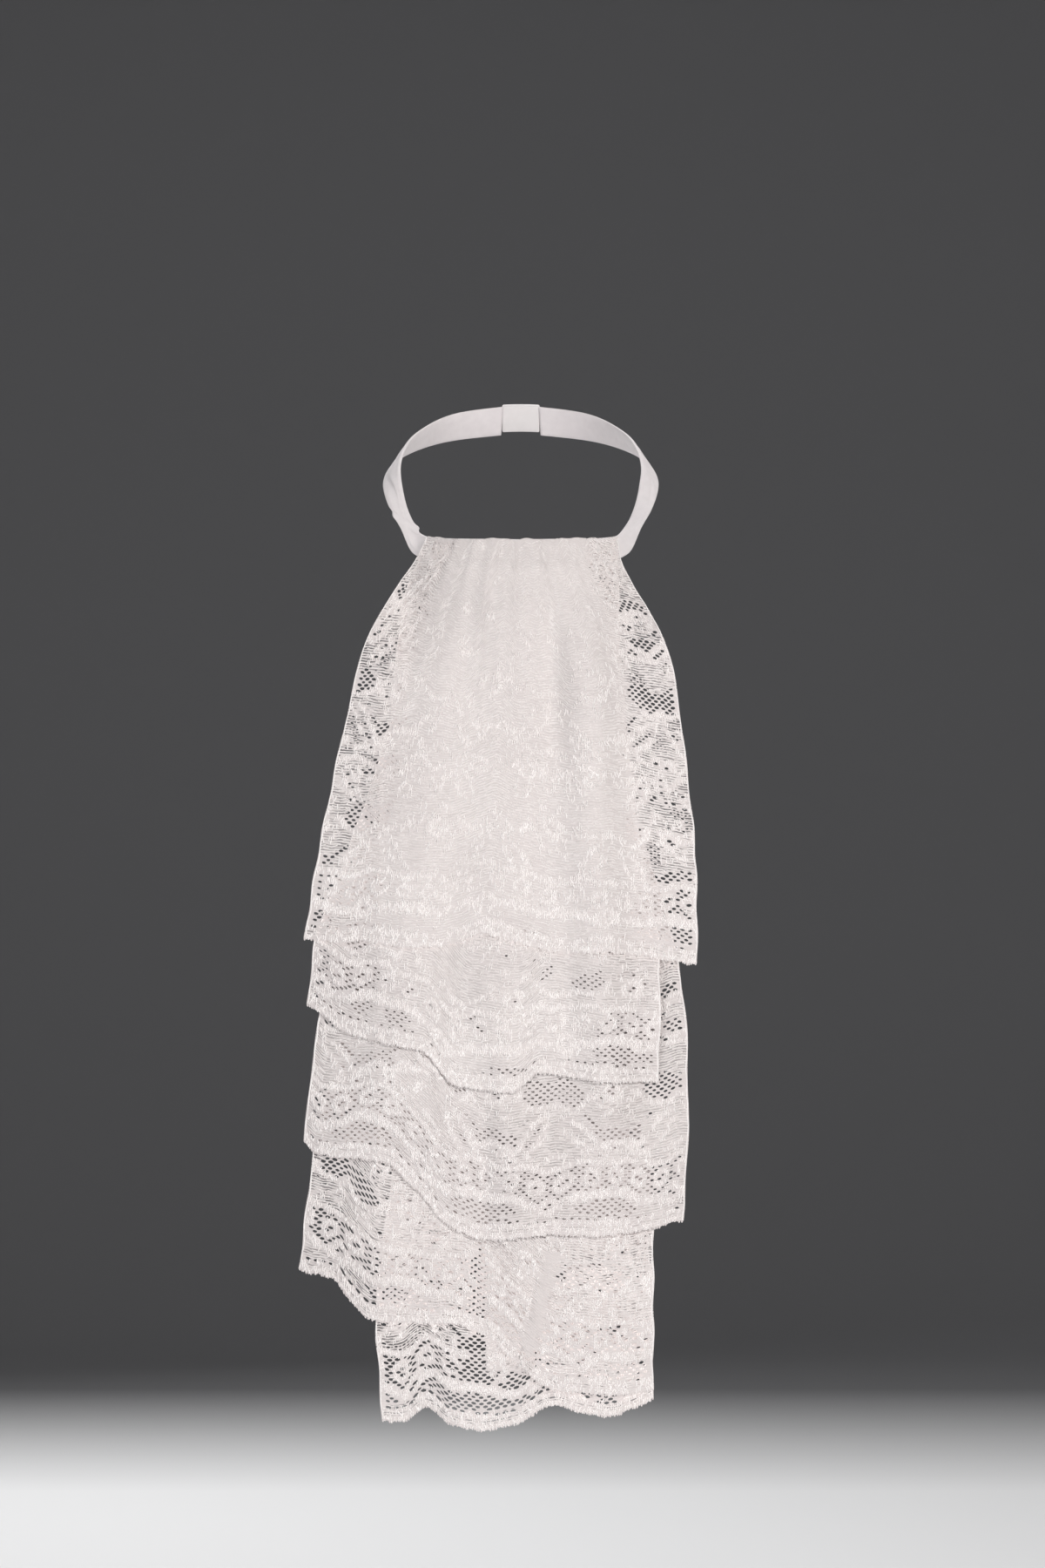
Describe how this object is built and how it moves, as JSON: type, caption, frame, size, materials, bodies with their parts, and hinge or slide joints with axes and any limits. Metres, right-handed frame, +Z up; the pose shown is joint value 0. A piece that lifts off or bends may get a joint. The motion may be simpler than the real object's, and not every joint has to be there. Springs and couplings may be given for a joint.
{
  "type": "lace jabot on a cloth neck band",
  "caption": "Long tiered jabot: overlapping layers of gathered floral lace hang from a plain cloth neck band that closes behind the neck.",
  "frame": {"origin": "centre of the neck opening, halfway up the height of the tilted neck band", "axes": "+Z up as worn, -Y to the front where the lace hangs, +X to the wearer's left"},
  "size_m": [0.1878, 0.1808, 0.4914],
  "materials": {
    "band_cloth": "plain weave cotton, off-white with a faint pink cast, softly creased",
    "clasp": "plain pale closure, satin",
    "stay_cloth": "fine plain cloth, off-white",
    "tape": "smooth folded cotton tape, white",
    "lace": "machine-made floral lace on a fine net, ivory white, soft sheen on the heavier threads"
  },
  "bodies": {
    "root": {"neck_band": "band_cloth", "back_clasp": "clasp", "backing_stay": "stay_cloth", "stay_tape": "tape", "lace_tier_1": "lace", "lace_tier_2": "lace", "lace_tier_3": "lace", "lace_tier_4": "lace", "lace_tier_5": "lace"}
  },
  "joints": []
}
